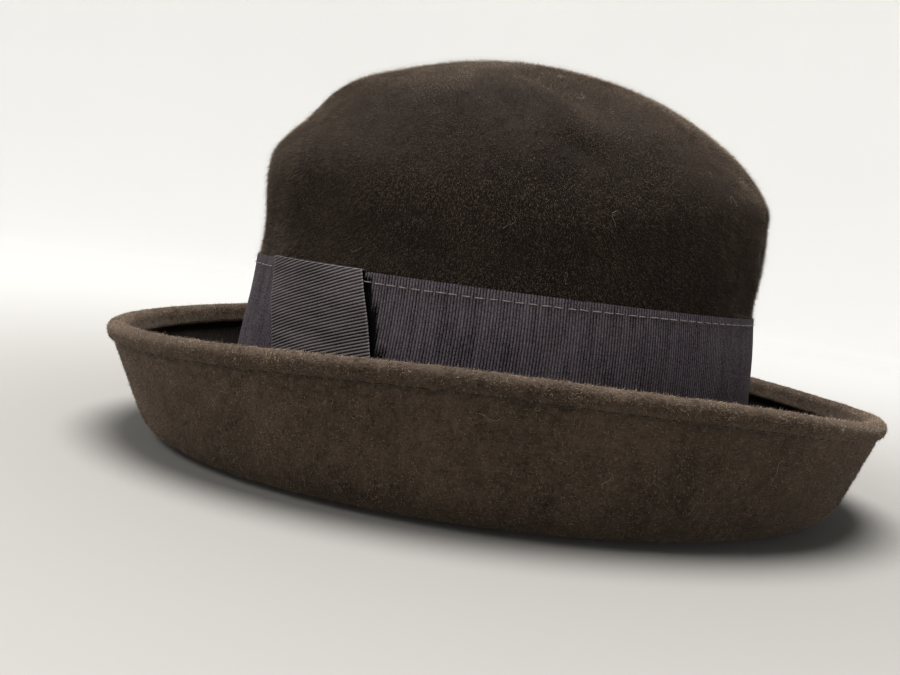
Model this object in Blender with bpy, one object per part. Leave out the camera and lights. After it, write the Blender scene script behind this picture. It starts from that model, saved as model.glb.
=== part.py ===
"""A felt bowler hat with a turned-up brim, a wide ribbon band and a flat ribbon loop.

Frame: +Z up, the wearer faces -Y, the wearer's left is +X. The origin is at the middle of the
head opening, on the plane that the brim rests on. All lengths are in metres.
"""
import math

import bpy
import numpy as np

MM = 0.001

# --- driving dimensions ---------------------------------------------------------------------
HEAD_LENGTH = 194.6 * MM        # inside of the head ribbon, front to back
HEAD_WIDTH = 161.4 * MM         # inside of the head ribbon, side to side
CROWN_HEIGHT = 157.0 * MM       # resting plane to the top of the crown felt
CROWN_FELT = 2.2 * MM
BRIM_FELT = 2.2 * MM
COLLAR_FELT = 1.8 * MM          # the brim's stand, pared thin where it goes up inside the crown
COLLAR_TOP = 13.0 * MM          # height of the stand's top edge
CLEARANCE = 0.3 * MM            # between pieces that touch on the real hat

# brim section, each at the front, the side and the back
BRIM_RUN = (19.6 * MM, 18.1 * MM, 23.2 * MM)     # crown wall to the start of the turn
BRIM_TURN = 17.0 * MM                            # outer radius of the turn
WALL_ANGLE = (65.4, 80.7, 67.6)                  # slope of the brim wall in degrees
WALL_HEIGHT = (32.5 * MM, 35.4 * MM, 30.4 * MM)  # end of the turn to the top edge, along the wall
FLAT_WIDTH = 6.0 * MM                            # level ring that the hat stands on
HEADLINE_RISE = 1.1 * MM                         # the brim's underside rises this much at the crown
HEADLINE_FLAT = 2.0 * MM                         # crown wall to where that rise begins
BREAK_RADIUS = 1.0 * MM                          # rounding where the underside turns into the stand

# folded hem at the brim's edge
HEM_FELT = 1.8 * MM             # felt thickness where it is folded over the wire
HEM_DEPTH = 8.5 * MM            # top edge to the flap's raw edge
BEAD_DEPTH = 6.7 * MM           # top edge to the foot of the bead outside, where its stitches run
HEM_BULGE = 1.2 * MM            # how far the bead stands proud of the wall outside
HEM_TAPER = 2.4 * MM            # length along the wall over which the bead dies away
FLAP_SWELL = 0.2 * MM           # how far the flap swells above its raw edge
HEM_SLIT = 0.4 * MM             # between the flap and the wall
WIRE_CHANNEL = 1.3 * MM         # radius of the channel in the fold
WIRE_RADIUS = 0.5 * MM
WIRE_END_GAP = 0.6 * MM
JOINER_RADIUS = 0.95 * MM
JOINER_WALL = 0.15 * MM
JOINER_SHARE = 0.55             # of the step between two stations, each side of the centre back

# ribbons
RIBBON = 0.5 * MM               # thickness of the grosgrain
BAND_WIDTH = 67.6 * MM
NAP_UNDER_BAND = 1.1 * MM       # the pressed nap that the band lies on
BAND_END_GAP = 1.0 * MM
LOOP_WIDTH = 48.0 * MM
LOOP_ANGLE = 44.4               # where the loop's middle sits at mid height, degrees from the front
LOOP_SLANT = 11.0               # degrees that the loop's foot lies further back than its top
LOOP_TUCK = 14.0 * MM           # how far the loop goes down behind the band
HEAD_RIBBON = 0.7 * MM
HEAD_RIBBON_WIDTH = 28.0 * MM
HEAD_RIBBON_LOW = 2.0 * MM
HEAD_RIBBON_GAP = 1.0 * MM      # between its two ends, at the back

# threads and label
THREAD_RADIUS = 0.25 * MM
BAND_STITCH_DROP = 3.8 * MM     # band's top edge to its row of stitches
STITCH_MARGIN = 1.5 * MM        # between that row's ends and the loop
SEAM_HEIGHT = 8.0 * MM          # row that joins the crown to the brim's stand
RIBBON_STITCH_HEIGHT = 4.5 * MM
TACK_LENGTH = 7.0 * MM
TACK_HEIGHT = 9.0 * MM
LABEL_WIDTH = 22.0 * MM
LABEL_HEIGHT = 13.0 * MM
LABEL_LOW = 9.0 * MM
LABEL_THICKNESS = 0.4 * MM
LABEL_ANGLE = 168.0             # degrees from the front, beside the ribbon's ends

# Crown form as level-by-level rings. Front, back and side are shares of the crown's half length
# and half width at its foot, and the three heights are shares of the crown's height.
CROWN_RINGS = (
    # front  back   side   front h  back h  side h
    (1.006, 0.994, 1.000, 0.000, 0.000, 0.000),
    (1.003, 0.977, 0.991, 0.191, 0.191, 0.191),
    (0.974, 0.961, 0.963, 0.357, 0.357, 0.357),
    (0.962, 0.945, 0.942, 0.459, 0.459, 0.459),
    (0.956, 0.953, 0.934, 0.548, 0.548, 0.548),
    (0.967, 0.957, 0.926, 0.669, 0.669, 0.655),
    (0.926, 0.941, 0.862, 0.741, 0.739, 0.745),
    (0.753, 0.780, 0.740, 0.876, 0.847, 0.846),
    (0.548, 0.556, 0.548, 0.938, 0.925, 0.922),
    (0.256, 0.263, 0.278, 0.987, 0.985, 0.979),
    (0.000, 0.000, 0.000, 1.000, 1.000, 1.000),
)
CROWN_LEVELS = (1.0, 2.0, 3.0, 4.0, 4.6, 5.0, 5.5, 6.0, 6.5, 7.0, 8.0, 9.0, 10.0)
STATIONS = 60                   # steps round the hat

# --- sizes that follow ------------------------------------------------------------------------
STACK = HEAD_RIBBON + CLEARANCE + COLLAR_FELT + CLEARANCE + CROWN_FELT
HALF_LENGTH = HEAD_LENGTH / 2 + STACK
HALF_WIDTH = HEAD_WIDTH / 2 + STACK
BRIM_TOP = HEADLINE_RISE + BRIM_FELT            # the brim's upper face at the foot of the crown
CROWN_LOW = BRIM_TOP + CLEARANCE
COLLAR_OUT = -(CROWN_FELT + CLEARANCE)          # offsets are counted out from the crown's surface
COLLAR_IN = COLLAR_OUT - COLLAR_FELT
HEAD_RIBBON_OUT = COLLAR_IN - CLEARANCE
HEAD_RIBBON_IN = HEAD_RIBBON_OUT - HEAD_RIBBON
BAND_LOW = CROWN_LOW + CLEARANCE
BAND_TOP = BAND_LOW + BAND_WIDTH
BAND_IN = NAP_UNDER_BAND
BAND_OUT = BAND_IN + RIBBON
LOOP_IN = BAND_OUT + CLEARANCE
LOOP_OUT = LOOP_IN + RIBBON
THREAD_CLEAR = CLEARANCE + THREAD_RADIUS        # a surface to the middle of a thread lying on it
BACK = math.pi                  # the angle of the centre back; the front is at 0


def clear_scene():
    for item in list(bpy.data.objects):
        bpy.data.objects.remove(item, do_unlink=True)


def make_material(name, srgb, roughness, metallic=0.0):
    """A Principled material from an sRGB colour."""
    def linear(value):
        value /= 255.0
        return value / 12.92 if value <= 0.04045 else ((value + 0.055) / 1.055) ** 2.4

    material = bpy.data.materials.new(name)
    material.use_nodes = True
    shader = material.node_tree.nodes["Principled BSDF"]
    colour = tuple(linear(value) for value in srgb) + (1.0,)
    shader.inputs["Base Color"].default_value = colour
    shader.inputs["Roughness"].default_value = roughness
    shader.inputs["Metallic"].default_value = metallic
    material.diffuse_color = colour
    return material


# --- the forms that every piece is placed from --------------------------------------------------

def around(values, angles):
    """A value that goes smoothly from front to side to back as the angle goes round."""
    front, side, back = values
    middle = (front + back) / 2
    mean, swing, lean = (middle + side) / 2, (middle - side) / 2, (front - back) / 2
    return mean + lean * np.cos(angles) + swing * np.cos(2 * angles)


def ring_values(level):
    """The crown's ring values at a fractional level, on a smooth curve through the rings."""
    rings = np.array(CROWN_RINGS)
    below = 2 * rings[0] - rings[1]
    past_top = rings[-2] * (-1, -1, -1, 1, 1, 1)
    past_top = past_top[[1, 0, 2, 4, 3, 5]]
    points = np.vstack([below, rings, past_top])
    index = min(int(level), len(rings) - 2)
    u = level - index
    p0, p1, p2, p3 = points[index:index + 4]
    return 0.5 * (2 * p1 + (p2 - p0) * u + (2 * p0 - 5 * p1 + 4 * p2 - p3) * u * u
                  + (3 * p1 - p0 - 3 * p2 + p3) * u ** 3)


def crown_surface(level, angles):
    """Points of the crown's outer surface: a shifted ellipse whose height also goes round."""
    front, back, side, front_height, back_height, side_height = ring_values(level)
    half = HALF_LENGTH * (front + back) / 2
    shift = HALF_LENGTH * (back - front) / 2
    height = around((front_height, side_height, back_height), angles)
    return np.stack([HALF_WIDTH * side * np.sin(angles),
                     shift - half * np.cos(angles),
                     CROWN_HEIGHT * height], axis=-1)


def crown_normals(level, angles):
    """Unit normals of the crown's outer surface, from central differences."""
    step = 1e-3
    top = len(CROWN_RINGS) - 1
    if level >= top:
        return np.tile((0.0, 0.0, 1.0), (len(angles), 1))
    round_way = crown_surface(level, angles + step) - crown_surface(level, angles - step)
    up_way = crown_surface(min(level + step, top), angles) - crown_surface(level - step, angles)
    normals = np.cross(round_way, up_way)
    return normals / np.linalg.norm(normals, axis=1, keepdims=True)


def level_at(height):
    """The level at which the crown's wall, whose rings are level there, has this height."""
    levels = np.linspace(0.0, 4.9, 491)
    heights = [CROWN_HEIGHT * ring_values(level)[5] for level in levels]
    return float(np.interp(height, heights, levels))


def outward(angles):
    """Horizontal unit vectors square to the crown's foot."""
    flat = crown_normals(0.0, angles) * (1, 1, 0)
    return flat / np.linalg.norm(flat, axis=1, keepdims=True)


def wall_point(height, offset, angles):
    """Points at a height beside the crown's wall, an offset out from its surface."""
    points = crown_surface(level_at(height), angles) + outward(angles) * offset
    points[:, 2] = height
    return points


def brim_point(out, up, angles):
    """Points of the brim: a distance out from the crown's foot and a height."""
    points = crown_surface(0.0, angles) + outward(angles) * np.reshape(out, (-1, 1))
    points[:, 2] = up
    return points


def brim_wall_point(drop, depth, angles):
    """Points of the brim's wall: a drop from the top edge and a depth in from its outer face."""
    run, height = around(BRIM_RUN, angles), around(WALL_HEIGHT, angles)
    slope = np.radians(around(WALL_ANGLE, angles))
    along = height - drop
    out = run + BRIM_TURN * np.sin(slope) + along * np.cos(slope) - depth * np.sin(slope)
    up = BRIM_TURN * (1 - np.cos(slope)) + along * np.sin(slope) + depth * np.cos(slope)
    return brim_point(out, up, angles)


def brim_turn_point(share, radius, angles):
    """Points of the brim's turn, about its centre line."""
    run, slope = around(BRIM_RUN, angles), np.radians(around(WALL_ANGLE, angles)) * share
    return brim_point(run + radius * np.sin(slope), BRIM_TURN - radius * np.cos(slope), angles)


def whole_round():
    return np.arange(STATIONS) * 2 * math.pi / STATIONS


def open_round(middle, gap, reach):
    """Angles nearly all the way round, ending half a gap short of an angle on both sides."""
    half = gap / 2 / reach
    step = 2 * math.pi / STATIONS
    between = np.arange(math.ceil((middle + half) / step + 0.05),
                        math.floor((middle + 2 * math.pi - half) / step - 0.05) + 1) * step
    return np.concatenate([[middle + half], between, [middle + 2 * math.pi - half]])


# --- mesh makers -------------------------------------------------------------------------------

def make_piece(name, points, faces, material, smooth_angle=35.0):
    mesh = bpy.data.meshes.new(name)
    mesh.from_pydata([tuple(point) for point in points], [], faces)
    mesh.validate()
    mesh.shade_smooth()
    mesh.set_sharp_from_angle(angle=math.radians(smooth_angle))
    piece = bpy.data.objects.new(name, mesh)
    piece.data.materials.append(material)
    bpy.context.collection.objects.link(piece)
    return piece


def sweep(name, outline, material, closed=True):
    """A solid from an outline carried along stations.

    outline[k][i] is corner k of the outline at station i, counter-clockwise for someone who
    looks along the sweep. A closed sweep joins its last station to its first.
    """
    grid = np.array(outline)
    corners, stations = grid.shape[:2]
    faces = []
    for i in range(stations if closed else stations - 1):
        j = (i + 1) % stations
        for k in range(corners):
            n = (k + 1) % corners
            faces.append((k * stations + i, k * stations + j, n * stations + j, n * stations + i))
    if not closed:
        faces.append(tuple(k * stations for k in range(corners)))
        faces.append(tuple(k * stations + stations - 1 for k in reversed(range(corners))))
    return make_piece(name, grid.reshape(-1, 3), faces, material)


def thread_ring(name, centres, out, up, radius, material, sides=4, closed=True):
    """A round thread or wire along centres; out and up are unit vectors square to it."""
    turns = [2 * math.pi * k / sides for k in range(sides)]
    outline = [centres + radius * (math.cos(a) * out + math.sin(a) * up) for a in turns]
    return sweep(name, outline, material, closed)


# --- pieces --------------------------------------------------------------------------------------

def build_crown(felt):
    """One blocked felt shell, open at the foot."""
    angles = whole_round()
    levels = [level_at(CROWN_LOW), level_at(COLLAR_TOP), *CROWN_LEVELS]
    outer = [crown_surface(level, angles) for level in levels]
    normals = [crown_normals(level, angles) for level in levels]
    inner = [points - CROWN_FELT * normal for points, normal in zip(outer, normals)]
    inner[0] = wall_point(CROWN_LOW, -CROWN_FELT, angles)
    inner[1] = wall_point(COLLAR_TOP, -CROWN_FELT, angles)
    rings = inner[-2::-1] + outer[:-1]
    points = np.vstack(rings + [inner[-1][:1], outer[-1][:1]])
    count, pole_in, pole_out = len(rings), len(rings) * STATIONS, len(rings) * STATIONS + 1
    faces = []
    for i in range(STATIONS):
        j = (i + 1) % STATIONS
        for r in range(count - 1):
            faces.append((r * STATIONS + i, (r + 1) * STATIONS + i,
                          (r + 1) * STATIONS + j, r * STATIONS + j)[::-1])
        faces.append((pole_in, i, j)[::-1])
        last = (count - 1) * STATIONS
        faces.append((pole_out, last + i, last + j))
    return make_piece("crown_felt", points, faces, felt)


def hem_outline(angles):
    """The folded edge, from the wall's inner face over the wire channel to its outer face."""
    fold = WIRE_CHANNEL + HEM_FELT
    middle = fold - HEM_BULGE
    slit_out = BRIM_FELT + HEM_SLIT
    flap_out = slit_out + HEM_FELT
    mouth = [math.asin((depth - middle) / WIRE_CHANNEL) for depth in (BRIM_FELT, slit_out)]
    points = [(HEM_DEPTH + MM, BRIM_FELT)]
    # the channel, from the wall's side of the slit round to the flap's side
    for k in range(9):
        turn = -mouth[0] + (mouth[0] - mouth[1] + 2 * math.pi) * k / 8
        points.append((fold + WIRE_CHANNEL * math.cos(turn), middle - WIRE_CHANNEL * math.sin(turn)))
    points += [(HEM_DEPTH, slit_out), (HEM_DEPTH, flap_out),
               (HEM_DEPTH - HEM_TAPER, flap_out + FLAP_SWELL)]
    # over the top, from the flap's side to the outside
    for k in range(7):
        turn = math.pi * k / 6
        points.append((fold - fold * math.sin(turn), middle + fold * math.cos(turn)))
    for share in (1.0, 0.5, 0.0):
        easing = share * share * (3 - 2 * share)
        points.append((BEAD_DEPTH - HEM_TAPER * share, -HEM_BULGE * easing))
    return [brim_wall_point(drop, depth, angles) for drop, depth in points]


def build_brim(felt):
    """The brim: a stand inside the crown, a level run, a turn, a wall and a folded edge."""
    angles = whole_round()
    run = around(BRIM_RUN, angles)
    turn_shares = [k / 5 for k in range(6)]
    outline = [
        wall_point(COLLAR_TOP, COLLAR_IN, angles),
        wall_point(COLLAR_TOP, COLLAR_OUT, angles),
        wall_point(BRIM_TOP, COLLAR_OUT, angles),
        brim_point(np.full(STATIONS, HEADLINE_FLAT), BRIM_TOP, angles),
        brim_point(run - FLAT_WIDTH, BRIM_FELT, angles),
    ]
    outline += [brim_turn_point(share, BRIM_TURN - BRIM_FELT, angles) for share in turn_shares]
    outline += hem_outline(angles)
    outline += [brim_turn_point(share, BRIM_TURN, angles) for share in reversed(turn_shares)]
    outline += [
        brim_point(run - FLAT_WIDTH, 0.0, angles),
        brim_point(np.full(STATIONS, HEADLINE_FLAT), HEADLINE_RISE, angles),
        brim_point(np.full(STATIONS, COLLAR_IN + BREAK_RADIUS), HEADLINE_RISE, angles),
        brim_point(np.full(STATIONS, COLLAR_IN + 0.3 * BREAK_RADIUS),
                   HEADLINE_RISE + 0.3 * BREAK_RADIUS, angles),
        brim_point(np.full(STATIONS, COLLAR_IN), HEADLINE_RISE + BREAK_RADIUS, angles),
    ]
    return sweep("brim_felt", outline[::-1], felt)


def wire_centres(angles):
    fold = WIRE_CHANNEL + HEM_FELT
    return brim_wall_point(fold, fold - HEM_BULGE, angles)


def build_wire(steel):
    """The wire in the brim's fold; its ends meet at the centre back."""
    reach = np.abs(wire_centres(np.array([BACK]))[0, 1])
    angles = open_round(BACK, WIRE_END_GAP, reach)
    up = np.tile((0.0, 0.0, 1.0), (len(angles), 1))
    return thread_ring("brim_wire", wire_centres(angles), outward(angles), up, WIRE_RADIUS, steel,
                       sides=6, closed=False)


def build_joiner(steel):
    """The crimped sleeve over the wire's ends, a tube along the fold."""
    step = 2 * math.pi / STATIONS
    middle, either = wire_centres(np.array([BACK])), wire_centres(np.array([BACK - step, BACK + step]))
    ends = middle + (either - middle) * JOINER_SHARE
    axis = np.vstack([ends[:1], middle, ends[1:]])
    out, up = outward(np.array([BACK]))[0], np.array((0.0, 0.0, 1.0))
    sides = 10
    inner = JOINER_RADIUS - JOINER_WALL
    path = [(axis[0], inner), (axis[1], inner), (axis[2], inner),
            (axis[2], JOINER_RADIUS), (axis[1], JOINER_RADIUS), (axis[0], JOINER_RADIUS)]
    turns = [2 * math.pi * k / sides for k in range(sides)]
    outline = [[centre + radius * (math.cos(a) * out + math.sin(a) * up) for a in turns]
               for centre, radius in path]
    return sweep("wire_joiner", outline, steel)


def strip(name, heights, inside, outside, angles, material):
    """A ribbon standing on edge beside the crown's wall."""
    outline = [wall_point(height, inside, angles) for height in heights]
    outline += [wall_point(height, outside, angles) for height in reversed(heights)]
    return sweep(name, outline[::-1], material, closed=False)


def band_heights():
    """Where the band and its loop bend: at the wall's rings, the stand's top and the stitches."""
    rings = [CROWN_HEIGHT * ring[5] for ring in CROWN_RINGS[1:5]]
    breaks = sorted([COLLAR_TOP, BAND_TOP - BAND_STITCH_DROP, *rings])
    between = [height for height in breaks if BAND_LOW + MM < height < BAND_TOP - MM]
    return [BAND_LOW, *between, BAND_TOP]


def build_band(ribbon):
    angles = open_round(math.radians(LOOP_ANGLE), BAND_END_GAP, HALF_WIDTH)
    return strip("hat_band", band_heights(), BAND_IN, BAND_OUT, angles, ribbon)


def loop_angles(height, count):
    """Angles across the loop at a height: it leans, and keeps its width along the band."""
    share = (height - BAND_LOW) / BAND_WIDTH - 0.5
    middle = math.radians(LOOP_ANGLE - LOOP_SLANT * share)
    sample = np.array([middle - 1e-3, middle + 1e-3])
    reach = np.linalg.norm(np.diff(wall_point(height, LOOP_OUT, sample), axis=0)) / 2e-3
    half = LOOP_WIDTH / 2 / reach
    return np.linspace(middle - half, middle + half, count)


def build_loop(ribbon):
    """The flat ribbon loop over the band's ends, tucked down behind the band's top edge."""
    heights = band_heights()
    foot = BAND_TOP - LOOP_TUCK
    behind = [foot, *(height for height in heights if height > foot + MM)]
    back_out = BAND_IN - CLEARANCE
    back_in = back_out - RIBBON
    fold = BAND_TOP + CLEARANCE
    path = [(height, LOOP_OUT) for height in heights]
    path += [(fold, LOOP_OUT), (fold + RIBBON, LOOP_OUT - RIBBON / 2),
             (fold + RIBBON, back_in + RIBBON / 2), (fold, back_in)]
    path += [(height, back_in) for height in reversed(behind)]
    path += [(height, back_out) for height in behind]
    path += [(fold, back_out), (fold, LOOP_IN)]
    path += [(height, LOOP_IN) for height in reversed(heights)]
    outline = [wall_point(height, offset, loop_angles(height, 13)) for height, offset in path]
    return sweep("band_loop", outline, ribbon, closed=False)


def build_head_ribbon(ribbon):
    angles = open_round(BACK, HEAD_RIBBON_GAP, HALF_LENGTH)
    top = HEAD_RIBBON_LOW + HEAD_RIBBON_WIDTH
    heights = [HEAD_RIBBON_LOW, COLLAR_TOP, top]
    return strip("head_ribbon", heights, HEAD_RIBBON_IN, HEAD_RIBBON_OUT, angles, ribbon)


def build_label(satin):
    """A small blank woven tab on the head ribbon, beside its ends."""
    reach = (HALF_LENGTH + HALF_WIDTH) / 2
    half = LABEL_WIDTH / 2 / reach
    middle = math.radians(LABEL_ANGLE)
    angles = np.linspace(middle - half, middle + half, 5)
    outside = HEAD_RIBBON_IN - CLEARANCE
    heights = [LABEL_LOW, LABEL_LOW + LABEL_HEIGHT]
    return strip("size_label", heights, outside - LABEL_THICKNESS, outside, angles, satin)


def build_threads(thread):
    """Each closed row of stitches as one thread lying along its line."""
    angles = whole_round()
    up = np.tile((0.0, 0.0, 1.0), (STATIONS, 1))
    rows = {
        "crown_seam_thread": wall_point(SEAM_HEIGHT, THREAD_CLEAR, angles),
        "head_ribbon_thread": wall_point(RIBBON_STITCH_HEIGHT, HEAD_RIBBON_IN - THREAD_CLEAR, angles),
        "brim_edge_thread": brim_wall_point(BEAD_DEPTH, -THREAD_CLEAR, angles),
    }
    for name, centres in rows.items():
        thread_ring(name, centres, outward(angles), up, THREAD_RADIUS, thread)


def build_band_thread(thread):
    """The row along the band's top, from one edge of the loop round to the other."""
    height = BAND_TOP - BAND_STITCH_DROP
    first, last = loop_angles(height, 2)
    gap = (last - first) * HALF_WIDTH + 2 * STITCH_MARGIN
    angles = open_round((first + last) / 2, gap, HALF_WIDTH)
    centres = wall_point(height, BAND_OUT + THREAD_CLEAR, angles)
    up = np.tile((0.0, 0.0, 1.0), (len(angles), 1))
    thread_ring("band_top_thread", centres, outward(angles), up, THREAD_RADIUS, thread, closed=False)


def build_tack(dark):
    """The short bar of thread that holds the loop's foot to the band."""
    middle = loop_angles(TACK_HEIGHT, 3)[1]
    half = TACK_LENGTH / 2 / HALF_WIDTH
    angles = np.linspace(middle - half, middle + half, 3)
    centres = wall_point(TACK_HEIGHT, LOOP_OUT + THREAD_CLEAR, angles)
    up = np.tile((0.0, 0.0, 1.0), (3, 1))
    return thread_ring("loop_tack_thread", centres, outward(angles), up, THREAD_RADIUS, dark,
                       sides=6, closed=False)


def main():
    clear_scene()
    velour = make_material("velour_felt", (54, 46, 44), 0.95)
    felt = make_material("brim_felt", (55, 48, 42), 0.95)
    grosgrain = make_material("grosgrain", (66, 61, 64), 0.7)
    lining_ribbon = make_material("head_ribbon", (38, 34, 34), 0.75)
    satin = make_material("label_satin", (206, 200, 190), 0.5)
    pale_thread = make_material("pale_thread", (150, 140, 132), 0.7)
    dark_thread = make_material("dark_thread", (30, 25, 22), 0.8)
    steel = make_material("wire_steel", (150, 152, 156), 0.35, 1.0)

    build_crown(velour)
    build_brim(felt)
    build_wire(steel)
    build_joiner(steel)
    build_band(grosgrain)
    build_loop(grosgrain)
    build_head_ribbon(lining_ribbon)
    build_label(satin)
    build_threads(dark_thread)
    build_band_thread(pale_thread)
    build_tack(dark_thread)


main()
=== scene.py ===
import math

import bpy
import numpy as np
from mathutils import Matrix


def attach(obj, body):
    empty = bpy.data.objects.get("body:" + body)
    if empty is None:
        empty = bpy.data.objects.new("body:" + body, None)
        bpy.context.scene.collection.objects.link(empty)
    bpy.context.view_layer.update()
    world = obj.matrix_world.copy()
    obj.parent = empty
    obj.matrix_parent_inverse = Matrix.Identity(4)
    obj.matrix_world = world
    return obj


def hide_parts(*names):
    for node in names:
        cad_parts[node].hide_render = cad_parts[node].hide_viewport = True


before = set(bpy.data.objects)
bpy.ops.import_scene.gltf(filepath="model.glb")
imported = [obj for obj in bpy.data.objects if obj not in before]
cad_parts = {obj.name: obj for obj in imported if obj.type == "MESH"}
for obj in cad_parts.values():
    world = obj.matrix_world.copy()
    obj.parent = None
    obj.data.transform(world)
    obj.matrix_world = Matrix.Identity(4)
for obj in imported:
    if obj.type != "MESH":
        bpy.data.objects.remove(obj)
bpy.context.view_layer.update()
bpy.context.scene.view_settings.view_transform = "Standard"

mm = 0.001
fullTurn = 2 * math.pi

# the hat's own form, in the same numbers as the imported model
hat = {
    "headLength": 194.6 * mm, "headWidth": 161.4 * mm,   # inside the head ribbon
    "crownHeight": 157.0 * mm,
    "felt": 2.2 * mm, "standFelt": 1.8 * mm, "standTop": 13.0 * mm,
    "gap": 0.3 * mm,
    "headRibbon": 0.7 * mm,
    "ribbon": 0.5 * mm, "bandWidth": 67.6 * mm, "napUnderBand": 1.1 * mm,
    "loopWidth": 48.0 * mm, "loopSlant": 11.0,
}
stack = hat["headRibbon"] + hat["standFelt"] + hat["felt"] + 2 * hat["gap"]
halfLength = hat["headLength"] / 2 + stack
halfWidth = hat["headWidth"] / 2 + stack
brimRise = 1.1 * mm
brimTop = brimRise + hat["felt"]
crownLow = brimTop + hat["gap"]
standOut = -(hat["felt"] + hat["gap"])
standIn = standOut - hat["standFelt"]
headRibbonOut = standIn - hat["gap"]
headRibbonIn = headRibbonOut - hat["headRibbon"]
bandLow = crownLow + hat["gap"]
bandTop = bandLow + hat["bandWidth"]
bandOut = hat["napUnderBand"] + hat["ribbon"]
loopOut = bandOut + hat["gap"] + hat["ribbon"]

# front, back and side shares of the crown's half length and half width, then its heights there
crownRings = np.array([
    (1.006, 0.994, 1.000, 0.000, 0.000, 0.000),
    (1.003, 0.977, 0.991, 0.191, 0.191, 0.191),
    (0.974, 0.961, 0.963, 0.357, 0.357, 0.357),
    (0.962, 0.945, 0.942, 0.459, 0.459, 0.459),
    (0.956, 0.953, 0.934, 0.548, 0.548, 0.548),
    (0.967, 0.957, 0.926, 0.669, 0.669, 0.655),
    (0.926, 0.941, 0.862, 0.741, 0.739, 0.745),
    (0.753, 0.780, 0.740, 0.876, 0.847, 0.846),
    (0.548, 0.556, 0.548, 0.938, 0.925, 0.922),
    (0.256, 0.263, 0.278, 0.987, 0.985, 0.979),
    (0.000, 0.000, 0.000, 1.000, 1.000, 1.000),
])
topLevel = len(crownRings) - 1


def unit(vectors):
    return vectors / np.maximum(np.linalg.norm(vectors, axis=-1, keepdims=True), 1e-12)


def pathLengths(path):
    # how far along a row of points each one is: the sum of the steps up to it
    return np.concatenate([[0.0], np.cumsum(np.linalg.norm(np.diff(path, axis=0), axis=1))])


def ease(share):
    # 0 to 1 with no slope at either end: 3 s^2 - 2 s^3
    share = np.clip(share, 0.0, 1.0)
    return share * share * (3 - 2 * share)


def around(values, angles):
    # mean + lean cos t + swing cos 2t, which meets the front, side and back values
    front, side, back = values
    middle = (front + back) / 2
    return ((middle + side) / 2 + (front - back) / 2 * np.cos(angles)
            + (middle - side) / 2 * np.cos(2 * angles))


def ringValues(level):
    # a Catmull-Rom curve through the rings, carried on below the foot and mirrored past the top
    level = np.asarray(level, float)
    pastTop = (crownRings[-2] * (-1, -1, -1, 1, 1, 1))[[1, 0, 2, 4, 3, 5]]
    points = np.vstack([2 * crownRings[0] - crownRings[1], crownRings, pastTop])
    index = np.clip(level.astype(int), 0, topLevel - 1)
    u = (level - index)[..., None]
    p0, p1, p2, p3 = (points[index + k] for k in range(4))
    return 0.5 * (2 * p1 + (p2 - p0) * u + (2 * p0 - 5 * p1 + 4 * p2 - p3) * u * u
                  + (3 * p1 - p0 - 3 * p2 + p3) * u ** 3)


def crownPoint(level, angle):
    # a shifted ellipse whose size and height go round: (b s sin t, shift - a cos t, h)
    level, angle = np.broadcast_arrays(np.asarray(level, float), np.asarray(angle, float))
    front, back, side, frontUp, backUp, sideUp = np.moveaxis(ringValues(level), -1, 0)
    half = halfLength * (front + back) / 2
    shift = halfLength * (back - front) / 2
    return np.stack([halfWidth * side * np.sin(angle), shift - half * np.cos(angle),
                     hat["crownHeight"] * around((frontUp, sideUp, backUp), angle)], -1)


def crownNormal(level, angle):
    # the cross product of central differences round the crown and up it
    step = 1e-3
    level = np.clip(level, step, topLevel - 2 * step)
    roundWay = crownPoint(level, angle + step) - crownPoint(level, angle - step)
    upWay = crownPoint(level + step, angle) - crownPoint(level - step, angle)
    return unit(np.cross(roundWay, upWay))


wallLevels = np.linspace(0.0, 4.9, 491)
wallHeights = hat["crownHeight"] * ringValues(wallLevels)[:, 5]


def levelAt(height):
    return np.interp(height, wallHeights, wallLevels)


def outward(angle):
    # the level unit normal at the crown's foot
    return unit(crownNormal(0.0 * np.asarray(angle), np.asarray(angle)) * (1, 1, 0))


def wallPoint(height, offset, angle):
    # a point at a height beside the crown's wall, an offset out from it; all three broadcast
    height, offset, angle = np.broadcast_arrays(height, offset, angle)
    points = crownPoint(levelAt(height), angle) + outward(angle) * offset[..., None]
    points[..., 2] = height
    return points


def footPoint(out, up, angle):
    # a point a distance out from the crown's foot, at a height
    out, up, angle = np.broadcast_arrays(out, up, angle)
    points = crownPoint(0.0 * angle, angle) + outward(angle) * out[..., None]
    points[..., 2] = up
    return points


def waves(points, size, seed, count=20):
    # smooth noise, mostly from -1 to 1: sine waves in random directions, each about size long
    rng = np.random.default_rng(seed)
    axes = unit(rng.normal(size=(count, 3))) * (fullTurn / size) * rng.uniform(0.6, 1.5, (count, 1))
    total = np.zeros(points.shape[:-1])
    for axis, phase in zip(axes, rng.uniform(0, fullTurn, count)):
        total += np.sin(points @ axis + phase)
    return total / math.sqrt(count)


def nearestClump(points, size, seed):
    # the nearest of scattered centres, one in each cube of a grid, and a random share of its own
    cell = np.floor(points / size).astype(np.int64)
    best = np.full(len(points), np.inf)
    pull, share = np.zeros_like(points), np.zeros(len(points))
    for step in np.ndindex(3, 3, 3):
        near = cell + np.array(step) - 1
        mixed = (near @ np.array([73856093, 19349663, 83492791]) + seed) & 0xFFFFFF
        spots = np.stack([((mixed * k) >> 9 & 1023) / 1023 for k in (40503, 22679, 60493, 31337)], -1)
        away = (near + spots[:, :3]) * size - points
        distance = (away ** 2).sum(1)
        closer = distance < best
        best[closer], pull[closer], share[closer] = distance[closer], away[closer], spots[closer, 3]
    return pull, share


# meshes and pieces

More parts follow.
